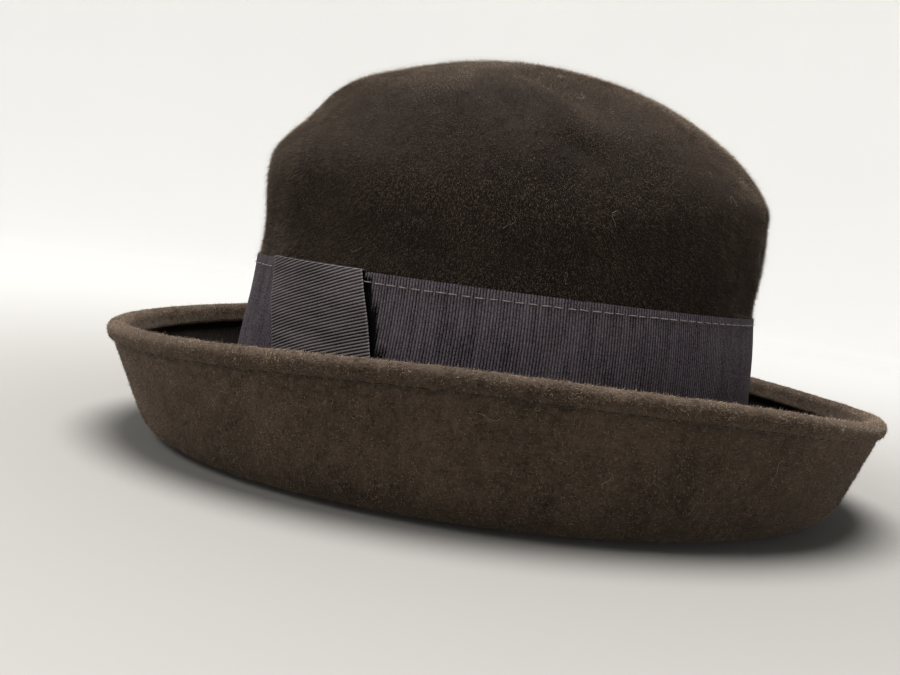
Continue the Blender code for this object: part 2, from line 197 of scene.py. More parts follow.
def gridQuads(rows, cols, wrapRows=False, wrapCols=False):
    # corner numbers of a grid's quads; point (row, col) is number row * cols + col
    r = np.arange(rows if wrapRows else rows - 1)[:, None]
    c = np.arange(cols if wrapCols else cols - 1)[None, :]
    nextR, nextC = (r + 1) % rows, (c + 1) % cols
    return np.stack(np.broadcast_arrays(r * cols + c, r * cols + nextC, nextR * cols + nextC,
                                        nextR * cols + c), -1).reshape(-1, 4)


def signedVolume(points, faceSets):
    # a sixth of the sum over each face's fan of a . (b x c)
    total = 0.0
    for faces in faceSets:
        for k in range(1, faces.shape[1] - 1):
            a, b, c = points[faces[:, 0]], points[faces[:, k]], points[faces[:, k + 1]]
            total += np.einsum("ij,ij->", a, np.cross(b, c)) / 6
    return total


def makeMesh(name, points, faceSets, sharpAngle=None, attributes=None):
    # a closed mesh from whole arrays, turned so that its faces point outwards
    points = points.reshape(-1, 3)
    if signedVolume(points, faceSets) < 0:
        faceSets = [faces[:, ::-1] for faces in faceSets]
    corners = np.concatenate([faces.ravel() for faces in faceSets]).astype(np.int32)
    sizes = np.concatenate([np.full(len(faces), faces.shape[1]) for faces in faceSets])
    mesh = bpy.data.meshes.new(name)
    mesh.vertices.add(len(points))
    mesh.vertices.foreach_set("co", points.astype(np.float32).ravel())
    mesh.loops.add(len(corners))
    mesh.loops.foreach_set("vertex_index", corners)
    mesh.polygons.add(len(sizes))
    mesh.polygons.foreach_set("loop_start", (np.cumsum(sizes) - sizes).astype(np.int32))
    mesh.update(calc_edges=True)
    mesh.shade_smooth()
    if sharpAngle:
        mesh.set_sharp_from_angle(angle=math.radians(sharpAngle))
    for key, values in (attributes or {}).items():
        attribute = mesh.attributes.new(key, "FLOAT", "POINT")
        attribute.data.foreach_set("value", values.ravel().astype(np.float32))
    return mesh


def addPiece(name, mesh, material, slot, *nodes):
    piece = bpy.data.objects.new(name, mesh)
    bpy.context.scene.collection.objects.link(piece)
    mesh.materials.append(material)
    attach(piece, "root")
    if nodes:
        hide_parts(*nodes)
    return piece


def ribbonMesh(name, front, back, attributes):
    # two grids, the face and the back of a ribbon, joined all round their edges
    rows, cols = front.shape[:2]
    quads = gridQuads(rows, cols)
    count = rows * cols
    edge = np.concatenate([np.arange(cols), np.arange(1, rows) * cols + cols - 1,
                           (rows - 1) * cols + np.arange(cols - 2, -1, -1),
                           np.arange(rows - 2, 0, -1) * cols])
    after = np.roll(edge, -1)
    sides = np.stack([edge, edge + count, after + count, after], -1)
    faces = np.concatenate([quads, quads[:, ::-1] + count, sides])
    doubled = {key: np.tile(values.ravel(), 2) for key, values in attributes.items()}
    return makeMesh(name, np.concatenate([front.reshape(-1, 3), back.reshape(-1, 3)]), [faces],
                    sharpAngle=60, attributes=doubled)


def fineRows(rows, step):
    # extra rows on the straight between each row and the next, so none is further apart than step
    made = []
    for here, there in zip(rows[:-1], rows[1:]):
        count = max(1, math.ceil(np.linalg.norm(there - here, axis=-1).mean() / step))
        made += [here + (there - here) * k / count for k in range(count)]
    return made + [rows[-1]]


def scatterOn(grid, chance, count, rng):
    # quads picked by area times chance, then a point in each by its two shares
    # returns points and unit vectors: out, up the rows, and along the columns
    nextCol = np.roll(grid, -1, axis=1)
    a, b, c, d = grid[:-1], nextCol[:-1], nextCol[1:], grid[1:]
    area = np.linalg.norm(np.cross(c - a, d - b), axis=-1) / 2
    odds = np.cumsum((area * chance).ravel())
    picked = np.searchsorted(odds, rng.uniform(0, odds[-1], count))
    picked = np.minimum(picked, area.size - 1)
    u, v = rng.uniform(size=(2, count, 1))
    a, b, c, d = (corner.reshape(-1, 3)[picked] for corner in (a, b, c, d))
    points = (1 - v) * ((1 - u) * a + u * b) + v * ((1 - u) * d + u * c)
    upWay = unit((1 - u) * (d - a) + u * (c - b))
    along = unit((1 - v) * (b - a) + v * (c - d))
    return points, unit(np.cross(along, upWay)), upWay, along


def pileMeshes(name, roots, ways, lengths, radii, shades, parts):
    # each hair is a spike with three root corners and a tip; the hairs go round the hat in parts
    turnOrder = np.argsort(np.arctan2(roots[:, 0], -roots[:, 1]))
    made = []
    for number, chosen in enumerate(np.array_split(turnOrder, parts), 1):
        root, way = roots[chosen], unit(ways[chosen])
        first = unit(np.cross(way, np.roll(way, 1, axis=1) + (0.3, -0.2, 0.1)))
        second = np.cross(way, first)
        corners = [root + radii[chosen, None] * (math.cos(a) * first + math.sin(a) * second)
                   for a in (0.0, fullTurn / 3, 2 * fullTurn / 3)]
        points = np.stack(corners + [root + way * lengths[chosen, None]], 1)
        shape = np.array([(0, 2, 1), (0, 1, 3), (1, 2, 3), (2, 0, 3)])
        faces = (np.arange(len(chosen))[:, None, None] * 4 + shape).reshape(-1, 3)
        mesh = makeMesh(f"{name}{number}", points, [faces], attributes={
            "tip": np.tile((0.0, 0.0, 0.0, 1.0), len(chosen)), "tone": np.repeat(shades[chosen], 4)})
        # its own cell of the map for every hair, with its four faces side by side
        across = math.ceil(math.sqrt(len(chosen)))
        cell = np.stack([np.arange(len(chosen)) % across, np.arange(len(chosen)) // across], -1)
        places = np.array([[(0.28, 0.93), (0.38, 0.93), (0.33, 0.55)],
                           [(0.04, 0.06), (0.30, 0.06), (0.17, 0.94)],
                           [(0.37, 0.06), (0.63, 0.06), (0.50, 0.94)],
                           [(0.70, 0.06), (0.96, 0.06), (0.83, 0.94)]])
        spots = (cell[:, None, None, :] + places) / across
        mesh.uv_layers.new(name="OFBake").data.foreach_set("uv", spots.astype(np.float32).ravel())
        made.append(mesh)
    return made


# materials

def tone(red, green, blue):
    # a linear colour from screen values of 0 to 255
    return tuple(v / 12.92 if v <= 0.04045 else ((v + 0.055) / 1.055) ** 2.4
                 for v in (red / 255, green / 255, blue / 255)) + (1.0,)


class Wire:
    # one socket of a material; sums on it add Math nodes

    def __init__(self, tree, socket):
        self.tree, self.socket = tree, socket

    def node(self, kind, settings, values, out=0):
        made = self.tree.nodes.new(kind)
        for key, value in settings.items():
            setattr(made, key, value)
        for key, value in values.items():
            if isinstance(value, Wire):
                self.tree.links.new(value.socket, made.inputs[key])
            else:
                made.inputs[key].default_value = value
        return Wire(self.tree, made.outputs[out])

    def sums(self, operation, *values):
        return self.node("ShaderNodeMath", {"operation": operation}, dict(enumerate(values)))

    def __add__(self, other):
        return self.sums("ADD", self, other)

    def __radd__(self, other):
        return self.sums("ADD", other, self)

    def __sub__(self, other):
        return self.sums("SUBTRACT", self, other)

    def __rsub__(self, other):
        return self.sums("SUBTRACT", other, self)

    def __mul__(self, other):
        return self.sums("MULTIPLY", self, other)

    def __rmul__(self, other):
        return self.sums("MULTIPLY", other, self)

    def held(self):
        return self.node("ShaderNodeClamp", {}, {"Value": self})

    def noise(self, scale, detail=2.0, stretch=(1.0, 1.0, 1.0)):
        place = self.node("ShaderNodeVectorMath", {"operation": "MULTIPLY"}, {0: self, 1: stretch})
        return self.node("ShaderNodeTexNoise", {}, {"Vector": place, "Scale": scale, "Detail": detail}, "Fac")

    def spread(self, low, high):
        # the part of a noise between low and high, as 0 to 1
        return self.node("ShaderNodeMapRange", {}, {"Value": self, "From Min": low, "From Max": high})

    def mixed(self, one, other):
        # this wire is the share of the second colour
        return self.node("ShaderNodeMix", {"data_type": "RGBA"}, {0: self, 6: one, 7: other}, 2)

    def attribute(self, name):
        return self.node("ShaderNodeAttribute", {"attribute_name": name}, {}, "Fac")

    def bumped(self, strength, distance):
        return self.node("ShaderNodeBump", {}, {"Height": self, "Strength": strength, "Distance": distance})


def newMaterial(name, fixed):
    # a Principled material with its unvarying sockets set, and a wire with the object's coordinates
    material = bpy.data.materials.new(name)
    material.use_nodes = True
    tree = material.node_tree
    shader = tree.nodes["Principled BSDF"]
    for key, value in fixed.items():
        shader.inputs[key].default_value = value
    place = Wire(tree, tree.nodes.new("ShaderNodeTexCoord").outputs["Object"])

    def feed(**wires):
        for key, wire in wires.items():
            tree.links.new(wire.socket, shader.inputs[{"colour": "Base Color", "rough": "Roughness",
                                                       "normal": "Normal", "metal": "Metallic",
                                                       "glow": "Emission Color"}[key]])
    return material, place, feed


def clothSockets(look, sheenRough):
    # the sockets that stay the same all over a cloth
    return {"Sheen Weight": look["sheen"], "Sheen Roughness": sheenRough, "Sheen Tint": look["sheenTint"],
            "Specular IOR Level": look["gloss"]}


def pileMaterial(name, look):
    # darker at the root, paler at the tip, a painted shade deep in the pile; toned hair by hair and in slow
    # patches
    material, place, feed = newMaterial(name, clothSockets(look, 0.35))
    patch = place.noise(look["patchScale"], 3.0).spread(0.3, 0.7)
    grown = (place.attribute("tip") * 0.5 + place.attribute("tone") * 0.7 + patch * 0.25 - 0.25).held()
    feed(colour=grown.mixed(look["root"], look["tip"]), rough=0.72 + 0.2 * patch)
    return material


def feltMaterial(name, look):
    # matted wool: short crossing fibres, specks and slow patches, with a fine bump
    material, place, feed = newMaterial(name, clothSockets(look, 0.45))
    fibres = (place.noise(1500.0, 4.0, (1.0, 0.35, 1.0)) + place.noise(1500.0, 4.0, (0.35, 1.0, 0.5))) * 0.5
    mottle = place.noise(260.0, 3.0).spread(0.3, 0.7)
    patch = place.noise(40.0, 2.0).spread(0.3, 0.7)
    share = (fibres.spread(0.35, 0.65) * 0.55 + mottle * 0.3 + patch * 0.3 - 0.08).held()
    height = fibres + mottle * 0.5
    feltTone = share.mixed(look["dark"], look["pale"])
    # painted shade: where the mesh's attribute is set, the felt turns to the look's much darker shade colour
    colour = place.attribute("paintedShade").mixed(feltTone, look["paintedShade"])
    feed(colour=colour, rough=0.8 + 0.15 * fibres,
         normal=height.bumped(look["bump"], 0.25 * mm))
    return material


def ribbonMaterial(name, look):
    # grosgrain: where crest is 1 the colour is paler, which on the ribs is a painted highlight on the crest
    # and painted shade in the groove; crossed by the fine warp threads
    material, place, feed = newMaterial(name, clothSockets(look, 0.4))
    crest = place.attribute("crest")
    warp = (place.attribute("warp") * fullTurn).sums("SINE", place.attribute("warp") * fullTurn) * 0.5 + 0.5
    grain = place.noise(1900.0, 2.0).spread(0.36, 0.64)
    patch = place.noise(55.0, 3.0).spread(0.3, 0.7)
    streak = place.noise(420.0, 2.0, look["streak"]).spread(0.3, 0.7)
    ofCrest, ofWarp, ofGrain = look["shares"]
    # painted shadow: the last term darkens the ribbon where its mesh marks the loop's shadow
    share = (crest * ofCrest + crest * grain * ofGrain + warp * ofWarp + streak * 0.18 + patch * 0.1 - 0.22
             - 0.9 * place.attribute("paintedShade")).held()
    height = warp * 0.5 + grain
    feed(colour=share.mixed(look["dark"], look["pale"]), rough=look["rough"] + 0.18 * grain,
         normal=height.bumped(0.35, 0.06 * mm))
    return material


def threadMaterial(name, look):
    # two plies twisting: a slanting stripe and a fine grain
    material, place, feed = newMaterial(name, {"Sheen Weight": 0.2, "Specular IOR Level": 0.35})
    twist = place.noise(2600.0, 2.0, (1.0, 1.0, 2.2)).spread(0.35, 0.65)
    feed(colour=twist.mixed(look["dark"], look["pale"]), rough=0.6 + 0.2 * twist,
         normal=twist.bumped(0.5, 0.08 * mm))
    return material


def steelMaterial(name):
    # drawn steel: fine scratches and a little dull staining
    material, place, feed = newMaterial(name, {"Specular IOR Level": 0.5})
    scratch = place.noise(3000.0, 2.0, (0.2, 0.2, 1.0)).spread(0.3, 0.7)
    stain = place.noise(160.0, 3.0).spread(0.4, 0.7)
    feed(colour=stain.mixed(tone(172, 173, 176), tone(112, 104, 96)), metal=1.0 - 0.35 * stain,
         rough=0.28 + 0.18 * scratch + 0.15 * stain, normal=scratch.bumped(0.2, 0.03 * mm))
    return material


# crown

shoulderWay = (18.9, 15.4, -16.9)       # the way that the crease's marks run
crown = {
    "columns": 320, "rowStep": 1.9 * mm, "innerStep": 5.0 * mm,
    "unevenness": 0.35 * mm,
    # soft marks of handling: centre, direction of its length, half length, half width, height
    "marks": [
        ((0.007, -0.087, 0.127), (1.0, 0.25, 0.0), 34 * mm, 11 * mm, -1.7 * mm),
        ((0.060, -0.001, 0.136), shoulderWay, 15 * mm, 5.0 * mm, 1.5 * mm),
        ((0.063, -0.018, 0.132), shoulderWay, 15 * mm, 8.0 * mm, -1.5 * mm),
        ((0.055, 0.013, 0.140), shoulderWay, 13 * mm, 7.0 * mm, -1.5 * mm),
        ((0.071, 0.003, 0.122), (0.0, 1.0, -0.3), 9 * mm, 5.0 * mm, -1.0 * mm),
    ],
}
# the felt under the crown's pile is painted very dark: painted shade between the hairs
crownGround = feltMaterial("crownGroundFelt", {
    "dark": tone(15, 12, 10), "pale": tone(44, 36, 31), "paintedShade": tone(15, 12, 10), "sheen": 0.15,
    "sheenTint": (0.5, 0.38, 0.3, 1.0), "bump": 0.5, "gloss": 0.05})


def crownRelief(points):
    # slow unevenness above the band, plus each mark as a long bell shape
    height = crown["unevenness"] * waves(points, 45 * mm, 5)
    for centre, way, length, width, rise in crown["marks"]:
        away = points - np.array(centre)
        along = away @ unit(np.array(way))
        across = (away ** 2).sum(-1) - along ** 2
        height = height + rise * np.exp(-(along / length) ** 2 - across / width ** 2)
    return height * ease((points[..., 2] - bandTop - 2 * mm) / (14 * mm))


def evenLevels(low, step):
    # levels from low to just short of the top, an even step apart up the crown's side
    fine = np.linspace(low, topLevel, 900)
    length = pathLengths(crownPoint(fine, fullTurn / 4))
    return np.interp(np.arange(0.0, length[-1] - 0.4 * step, step), length, fine)


def crownShell(levels, angles, depth):
    # the crown's surface with its relief, a depth in along its normals
    level, angle = np.meshgrid(levels, angles, indexing="ij")
    points, normals = crownPoint(level, angle), crownNormal(level, angle)
    return points + normals * (crownRelief(points) - depth)[..., None]


crownAngles = np.arange(crown["columns"]) * fullTurn / crown["columns"]
crownOuter = crownShell(evenLevels(levelAt(crownLow), crown["rowStep"]), crownAngles, 0.0)
crownInner = crownShell(evenLevels(levelAt(crownLow), crown["innerStep"]), crownAngles, hat["felt"])
crownOuter[0, :, 2] = crownInner[0, :, 2] = crownLow
poles = [ring.mean(0) * (1, 1, 0) + (0, 0, height) for ring, height in
         ((crownInner[-1], hat["crownHeight"] - hat["felt"]), (crownOuter[-1], hat["crownHeight"]))]
for pole, ring in zip(poles, (crownInner[-1], crownOuter[-1])):
    pole[2] = max(pole[2], ring[:, 2].max())
rings = np.concatenate([crownInner[::-1], crownOuter])
ringCount, cols = rings.shape[:2]
column = np.arange(cols)
lastRing = (ringCount - 1) * cols
innerFan = np.stack([np.full(cols, ringCount * cols), (column + 1) % cols, column], -1)
outerFan = np.stack([np.full(cols, ringCount * cols + 1), lastRing + column,
                     lastRing + (column + 1) % cols], -1)
crownMesh = makeMesh("crownFelt", np.concatenate([rings.reshape(-1, 3), poles]),
                     [gridQuads(ringCount, cols, wrapCols=True), np.concatenate([innerFan, outerFan])], 60)
addPiece("crownFelt", crownMesh, crownGround, "crown_velour", "crown_felt")
print("crown shell", len(crownMesh.polygons))

crownPile = {
    "hairs": 192000, "parts": 5, "seed": 11,
    "length": (1.4 * mm, 2.6 * mm), "radius": (0.045 * mm, 0.075 * mm),
    "skew": (2.2, 2.4),            # of the spread of lengths between those two
    "longShare": 0.15, "long": 1.85,  # a few hairs are longer by this much and thinner
    "lift": (36.0, 62.0),          # degrees off the felt
    "liftAtBand": 68.0, "bandReach": 1.6 * mm,
    "sway": 15.0, "smallSway": 9.0, "stray": 9.0,  # degrees sideways: wide patches, small ones, each hair
    "clump": 1.5 * mm, "gather": 0.35,
}
# its root colour is painted shade deep in the pile
velourPile = pileMaterial("crownVelourPile", {
    "root": tone(14, 11, 9), "tip": tone(108, 90, 74), "sheen": 0.6,
    "sheenTint": (0.85, 0.69, 0.52, 1.0), "gloss": 0.12, "patchScale": 55.0})


def hairSizes(look, count, rng):
    # each hair's length and radius, and the factor by which a few are longer, at half the radius
    shortest, longest = look["length"]
    thin, thick = look["radius"]
    lengths = shortest + (longest - shortest) * rng.beta(*look["skew"], count)
    radii = thin + (thick - thin) * rng.uniform(size=count)
    long = rng.uniform(size=count) < look["longShare"]
    return lengths, np.where(long, 0.5, 1.0) * radii, np.where(long, look["long"], 1.0)


def growCrownPile():
    rng = np.random.default_rng(crownPile["seed"])
    middles = (crownOuter[:-1, :, 2] + crownOuter[1:, :, 2]) / 2
    chance = np.where(middles > bandTop - 1.5 * mm, 1.0, 0.0)
    # the pole's small gap is grown over from the last ring
    roots, out, upWay, along = scatterOn(crownOuter, chance, crownPile["hairs"], rng)
    pull, clumpShare = nearestClump(roots, crownPile["clump"], 3)
    count = len(roots)
    sway = np.radians(crownPile["sway"]) * waves(roots, 26 * mm, 21) \
        + np.radians(crownPile["smallSway"]) * waves(roots, 7 * mm, 22) \
        + np.radians(crownPile["stray"]) * rng.normal(size=count)
    low, high = np.radians(crownPile["lift"])
    lift = low + (high - low) * np.clip(0.5 + 0.2 * waves(roots, 9 * mm, 23)
                                        + 0.3 * rng.normal(size=count), -0.2, 1.3)
    # the pile stands up along the band's edge, where the ribbon presses against it
    nearBand = np.exp(-np.maximum(roots[:, 2] - bandTop, 0) / crownPile["bandReach"])
    lift = lift + (np.radians(crownPile["liftAtBand"]) - lift) * nearBand
    flat = -np.cos(sway)[:, None] * upWay + np.sin(sway)[:, None] * along
    ways = np.cos(lift)[:, None] * flat + np.sin(lift)[:, None] * out
    lengths, radii, longer = hairSizes(crownPile, count, rng)
    inPlane = pull - out * (pull * out).sum(1)[:, None]
    ways = ways * lengths[:, None] + crownPile["gather"] * inPlane
    lengths = np.linalg.norm(ways, axis=1) * longer
    # streaks run down the wall: fast noise round the hat, slow noise down it
    streaks = waves(roots * (1, 1, 0.22), 3.2 * mm, 24)
    toned = 0.22 + 0.2 * (clumpShare - 0.5) + 0.16 * streaks + 0.1 * waves(roots, 18 * mm, 25) \
        + 0.1 * rng.normal(size=count)
    sunk = roots - out * 0.25 * mm
    return pileMeshes("crownPile", sunk, ways, lengths, radii, np.clip(toned, 0, 1), crownPile["parts"])


for mesh in growCrownPile():
    addPiece(mesh.name, mesh, velourPile, "crown_velour")
print("crown pile", crownPile["hairs"], "hairs")

# brim

brim = {
    "columns": 600, "rowStep": 2.4 * mm,
    "run": (19.6 * mm, 18.1 * mm, 23.2 * mm), "turn": 17.0 * mm,      # at the front, side and back
    "slope": (65.4, 80.7, 67.6), "wall": (32.5 * mm, 35.4 * mm, 30.4 * mm),
    "flat": 6.0 * mm,
    "hemFelt": 1.8 * mm, "hemDepth": 8.5 * mm, "hemBulge": 1.2 * mm, "hemSlit": 0.4 * mm,
    "hemTaper": 2.4 * mm, "channel": 1.3 * mm,
    "stitchDrop": 6.6 * mm, "groove": 0.4 * mm,
    "waver": 0.3 * mm,
}
# its last colour is the painted shade of the gutter
brimFelt = feltMaterial("brimFelt", {
    "dark": tone(28, 22, 17), "pale": tone(84, 71, 60), "paintedShade": tone(11, 9, 8), "sheen": 0.2,
    "sheenTint": (0.6, 0.47, 0.37, 1.0), "bump": 0.5, "gloss": 0.06})


def brimWall(drop, depth, angle):
    # a drop from the top edge down the wall and a depth in from its outer face
    run, tall = around(brim["run"], angle), around(brim["wall"], angle)
    slope = np.radians(around(brim["slope"], angle))
    along = tall - drop
    out = run + brim["turn"] * np.sin(slope) + along * np.cos(slope) - depth * np.sin(slope)
    up = brim["turn"] * (1 - np.cos(slope)) + along * np.sin(slope) + depth * np.cos(slope)
    return footPoint(out, up, angle)


def brimTurn(share, radius, angle):
    # the turn about its own centre line
    slope = np.radians(around(brim["slope"], angle)) * share
    out = around(brim["run"], angle) + radius * np.sin(slope)
    return footPoint(out, brim["turn"] - radius * np.cos(slope), angle)


def hemProfile():
    # (drop, depth) from the wall's inner face, round the wire's channel, over the flap and the fold
    fold = brim["channel"] + brim["hemFelt"]
    middle = fold - brim["hemBulge"]
    slitOut = hat["felt"] + brim["hemSlit"]
    flapOut = slitOut + brim["hemFelt"]
    mouth = [math.asin((depth - middle) / brim["channel"]) for depth in (hat["felt"], slitOut)]
    inside = [(brim["hemDepth"] + mm, hat["felt"])]
    for turn in np.linspace(-mouth[0], fullTurn - mouth[1], 15):
        inside.append((fold + brim["channel"] * math.cos(turn), middle - brim["channel"] * math.sin(turn)))
    inside.append((brim["hemDepth"], slitOut))
    shown = []
    # the flap's raw edge is softly rounded
    for turn in np.linspace(0.0, math.pi / 2, 4)[1:]:
        shown.append((brim["hemDepth"] + 0.35 * mm * math.cos(turn),
                      slitOut + brim["hemFelt"] * math.sin(turn) ** 1.3))
    # then the flap swells a little on its way up
    for back, swell in ((1.0, 0.12), (2.6, 0.2)):
        shown.append((brim["hemDepth"] - back * mm, flapOut + swell * mm))
    for turn in np.linspace(0.0, math.pi, 17):
        shown.append((fold - fold * math.sin(turn), middle + fold * math.cos(turn)))
    for share in np.linspace(1.0, 0.15, 7):
        shown.append((brim["stitchDrop"] - brim["hemTaper"] * share, -brim["hemBulge"] * float(ease(share))))
    return inside, shown


def brimSection(angles):
    # rows of the closed outline: hidden stand first, then all that shows, in order
    run = around(brim["run"], angles)
    shares = np.linspace(0.0, 1.0, 13)
    inside, shown = hemProfile()
    stand = [wallPoint(hat["standTop"], standIn, angles), wallPoint(hat["standTop"], standOut, angles),
             wallPoint(brimTop, standOut, angles)]
    gutter = [footPoint(2.0 * mm, brimTop, angles), footPoint(run - brim["flat"], hat["felt"], angles)]
    gutter += [brimTurn(share, brim["turn"] - hat["felt"], angles) for share in shares]
    gutter.append(brimWall(brim["hemDepth"] + mm, hat["felt"], angles))
    channel = [brimWall(drop, depth, angles) for drop, depth in inside[1:]]
    outside = [brimWall(drop, depth, angles) for drop, depth in shown]
    # a shallow groove where the stitches pull the felt in, just under the bead
    for offset, share in ((-0.3, 0.6), (0.0, 1.0), (0.3, 0.9), (0.8, 0.25), (1.6, 0.0)):
        outside.append(brimWall(brim["stitchDrop"] + offset * mm, brim["groove"] * share, angles))
    outside += [brimTurn(share, brim["turn"], angles) for share in shares[::-1]]
    outside += [footPoint(run - brim["flat"], 0.0, angles), footPoint(2.0 * mm, brimRise, angles)]
    outside += [footPoint(standIn + mm * (1 - math.sin(a)), brimRise + mm * (1 - math.cos(a)), angles)
                for a in np.linspace(0.0, math.pi / 2, 4)]
    return stand, fineRows(gutter, brim["rowStep"]), channel, fineRows(outside, brim["rowStep"])


def waver(points):
    # the handmade edge: slow drift outward and up, growing with height
    share = ease((points[..., 2] - 8 * mm) / (40 * mm))[..., None]
    drift = np.stack([waves(points * (1, 1, 0), size * mm, seed)
                      for size, seed in ((90, 31), (90, 32), (120, 33))], -1)
    small = waves(points, 14 * mm, 34)[..., None] * (0.3, 0.3, 0.15)
    return points + share * brim["waver"] * (drift + small)


roundAngle = np.linspace(0.0, fullTurn, 1200)
hemLine = waver(brimWall(brim["stitchDrop"] + 0.1 * mm, brim["groove"], roundAngle))
brimAngles = np.arange(brim["columns"]) * fullTurn / brim["columns"]
stand, gutter, channel, outside = brimSection(brimAngles)
brimGrid = waver(np.array(stand + gutter + channel + outside))
# painted shade: the gutter round the crown and the hem's inner channel are painted much darker
paintedShade = np.zeros(brimGrid.shape[:2])
paintedShade[len(stand):len(stand) + len(gutter) + len(channel)] = 1.0
brimQuads = gridQuads(*brimGrid.shape[:2], wrapRows=True, wrapCols=True)
brimMesh = makeMesh("brimFelt", brimGrid, [brimQuads], 55, {"paintedShade": paintedShade})
addPiece("brimFelt", brimMesh, brimFelt, "brim_felt", "brim_felt")
print("brim", len(brimMesh.polygons))

brimPile = {
    "hairs": 160000, "parts": 4, "seed": 12,
    "length": (0.6 * mm, 1.6 * mm), "radius": (0.05 * mm, 0.1 * mm),
    "skew": (1.5, 3.0), "longShare": 0.10, "long": 2.0,
    "inside": 0.3,                # share of the pile left in the gutter, whose tone is also painted darker there as shade
    "gutterTop": 38 * mm,         # height below which its tone is painted darker there, as shade
    "lift": (8.0, 58.0), "sway": 90.0,
}
# its root colour is painted shade deep in the pile
shortPile = pileMaterial("brimShortPile", {
    "root": tone(20, 16, 13), "tip": tone(180, 157, 135), "sheen": 0.3,
    "sheenTint": (0.75, 0.58, 0.45, 1.0), "gloss": 0.12, "patchScale": 45.0})


def growBrimPile():
    rng = np.random.default_rng(brimPile["seed"])
    firstShown = len(stand)
    shownRows = np.zeros(len(brimGrid) - 1)
    shownRows[firstShown:firstShown + len(gutter) - 1] = brimPile["inside"]
    firstOut = firstShown + len(gutter) + len(channel)
    shownRows[firstOut:] = 1.0
    # the pile is worn off the stitches' groove and the ring that the hat stands on
    rowPlace = brimGrid[:-1, 0]
    shownRows[np.linalg.norm(rowPlace - hemLine[0], axis=1) < 1.3 * mm] = 0.5
    shownRows[rowPlace[:, 2] < 1.0 * mm] = 0.0
    roots, out, upWay, along = scatterOn(brimGrid, shownRows[:, None], brimPile["hairs"], rng)
    # the rows run over the edge, so the outline's own turn gives the face that looks out
    inward = signedVolume(brimGrid.reshape(-1, 3), [brimQuads]) < 0
    out = -out if inward else out
    count = len(roots)
    sway = np.radians(brimPile["sway"]) * waves(roots, 16 * mm, 41) + 1.1 * rng.normal(size=count)
    low, high = np.radians(brimPile["lift"])
    lift = low + (high - low) * rng.beta(1.6, 2.2, count)
    flat = np.cos(sway)[:, None] * along + np.sin(sway)[:, None] * upWay
    ways = np.cos(lift)[:, None] * flat + np.sin(lift)[:, None] * out
    lengths, radii, longer = hairSizes(brimPile, count, rng)
    _, clumpShare = nearestClump(roots, 1.5 * mm, 43)
    # painted shade: the pile low in the gutter is toned much darker
    shadedGutter = (((roots * (1, 1, 0)) * out).sum(1) < 0) & (roots[:, 2] < brimPile["gutterTop"])
    toned = 0.29 + 0.1 * waves(roots, 12 * mm, 42) + 0.45 * (clumpShare - 0.5) \
        + 0.4 * rng.normal(size=count)
    toned = np.clip(toned, 0, 1) * (1 - 0.7 * shadedGutter) - 0.6 * shadedGutter
    sunk = roots - out * 0.08 * mm
    return pileMeshes("brimPile", sunk, ways, lengths * longer, radii, toned, brimPile["parts"])


for mesh in growBrimPile():
    addPiece(mesh.name, mesh, shortPile, "brim_felt")
print("brim pile", brimPile["hairs"], "hairs")

# ribbons

warpPitch = 0.42 * mm
band = {
    "ribPitch": 1.05 * mm, "ribDepth": 0.26 * mm, "perRib": 5,
    "middle": 44.4, "endGap": 1.0 * mm,     # its ends meet under the loop, degrees from the front
    "ease": 0.22 * mm,                       # how far it stands off the felt here and there
    "picot": 0.16 * mm,
    "shadowPast": 4.6 * mm,                    # the painted shadow strip past the loop's back edge, widest near the foot
}
loop = {
    "tuck": 14.0 * mm,
    "ribPitch": 1.0 * mm, "ribSlope": 17.5,       # degrees that the ribs rise towards the back
    "ribDepth": 0.34 * mm, "columns": 56, "rowStep": 0.2 * mm, "foldRise": 0.28,
    "selvedge": 23.2 * mm,                           # from the middle line to the pale edge thread
    "lift": 4.2 * mm,                                # the back edge stands off the band, most at the foot
    # heights, and how far the front and the back edge move along the band there
    "edgeHeights": np.array([4.0, 36.0, 43.0, 56.0, 66.0, 72.0]) * mm,
    "frontShift": np.array([3.0, 2.6, 2.6, -0.8, 0.0, 0.2]) * mm,
    "backShift": np.array([1.0, 0.8, 0.5, -0.6, -1.5, -1.8]) * mm,
}
bandGrosgrain = ribbonMaterial("bandGrosgrain", {
    "dark": tone(8, 8, 9), "pale": tone(110, 101, 107), "sheen": 0.0, "rough": 0.65, "gloss": 0.03,
    "sheenTint": (0.75, 0.7, 0.74, 1.0), "streak": (1.0, 1.0, 0.06), "shares": (0.34, 0.10, 0.55)})


def openRound(middle, gap, reach, count):
    # angles nearly all the way round, spaced evenly along the wall at mid height
    half = gap / 2 / reach
    fine = np.linspace(middle + half, middle + fullTurn - half, 4000)
    length = pathLengths(wallPoint(30 * mm, 0.0, fine))
    return np.interp(np.linspace(0.0, length[-1], count), length, fine), length[-1]


def ribCrest(phase, power=0.7):
    # 1 on a rib's crest and 0 in the groove: |sin| to a power, and a low power makes a broad crest
    return np.abs(np.sin(math.pi * phase)) ** power


def edgeThin(heights, low, high, length):
    # 1 along the middle of a ribbon, falling towards its two edges
    nearest = np.minimum(heights - low, high - heights)
    return ease(np.clip(nearest, 0, None) / length)


def loopMiddle(height):
    # the angle of the loop's slanting middle line, and the length along the band per radian there
    middle = np.radians(band["middle"] - hat["loopSlant"] * ((height - bandLow) / hat["bandWidth"] - 0.5))
    step = 1e-3
    ahead, behind = (wallPoint(height, loopOut, middle + turn) for turn in (step, -step))
    return middle, np.linalg.norm(ahead - behind, axis=-1) / (2 * step)


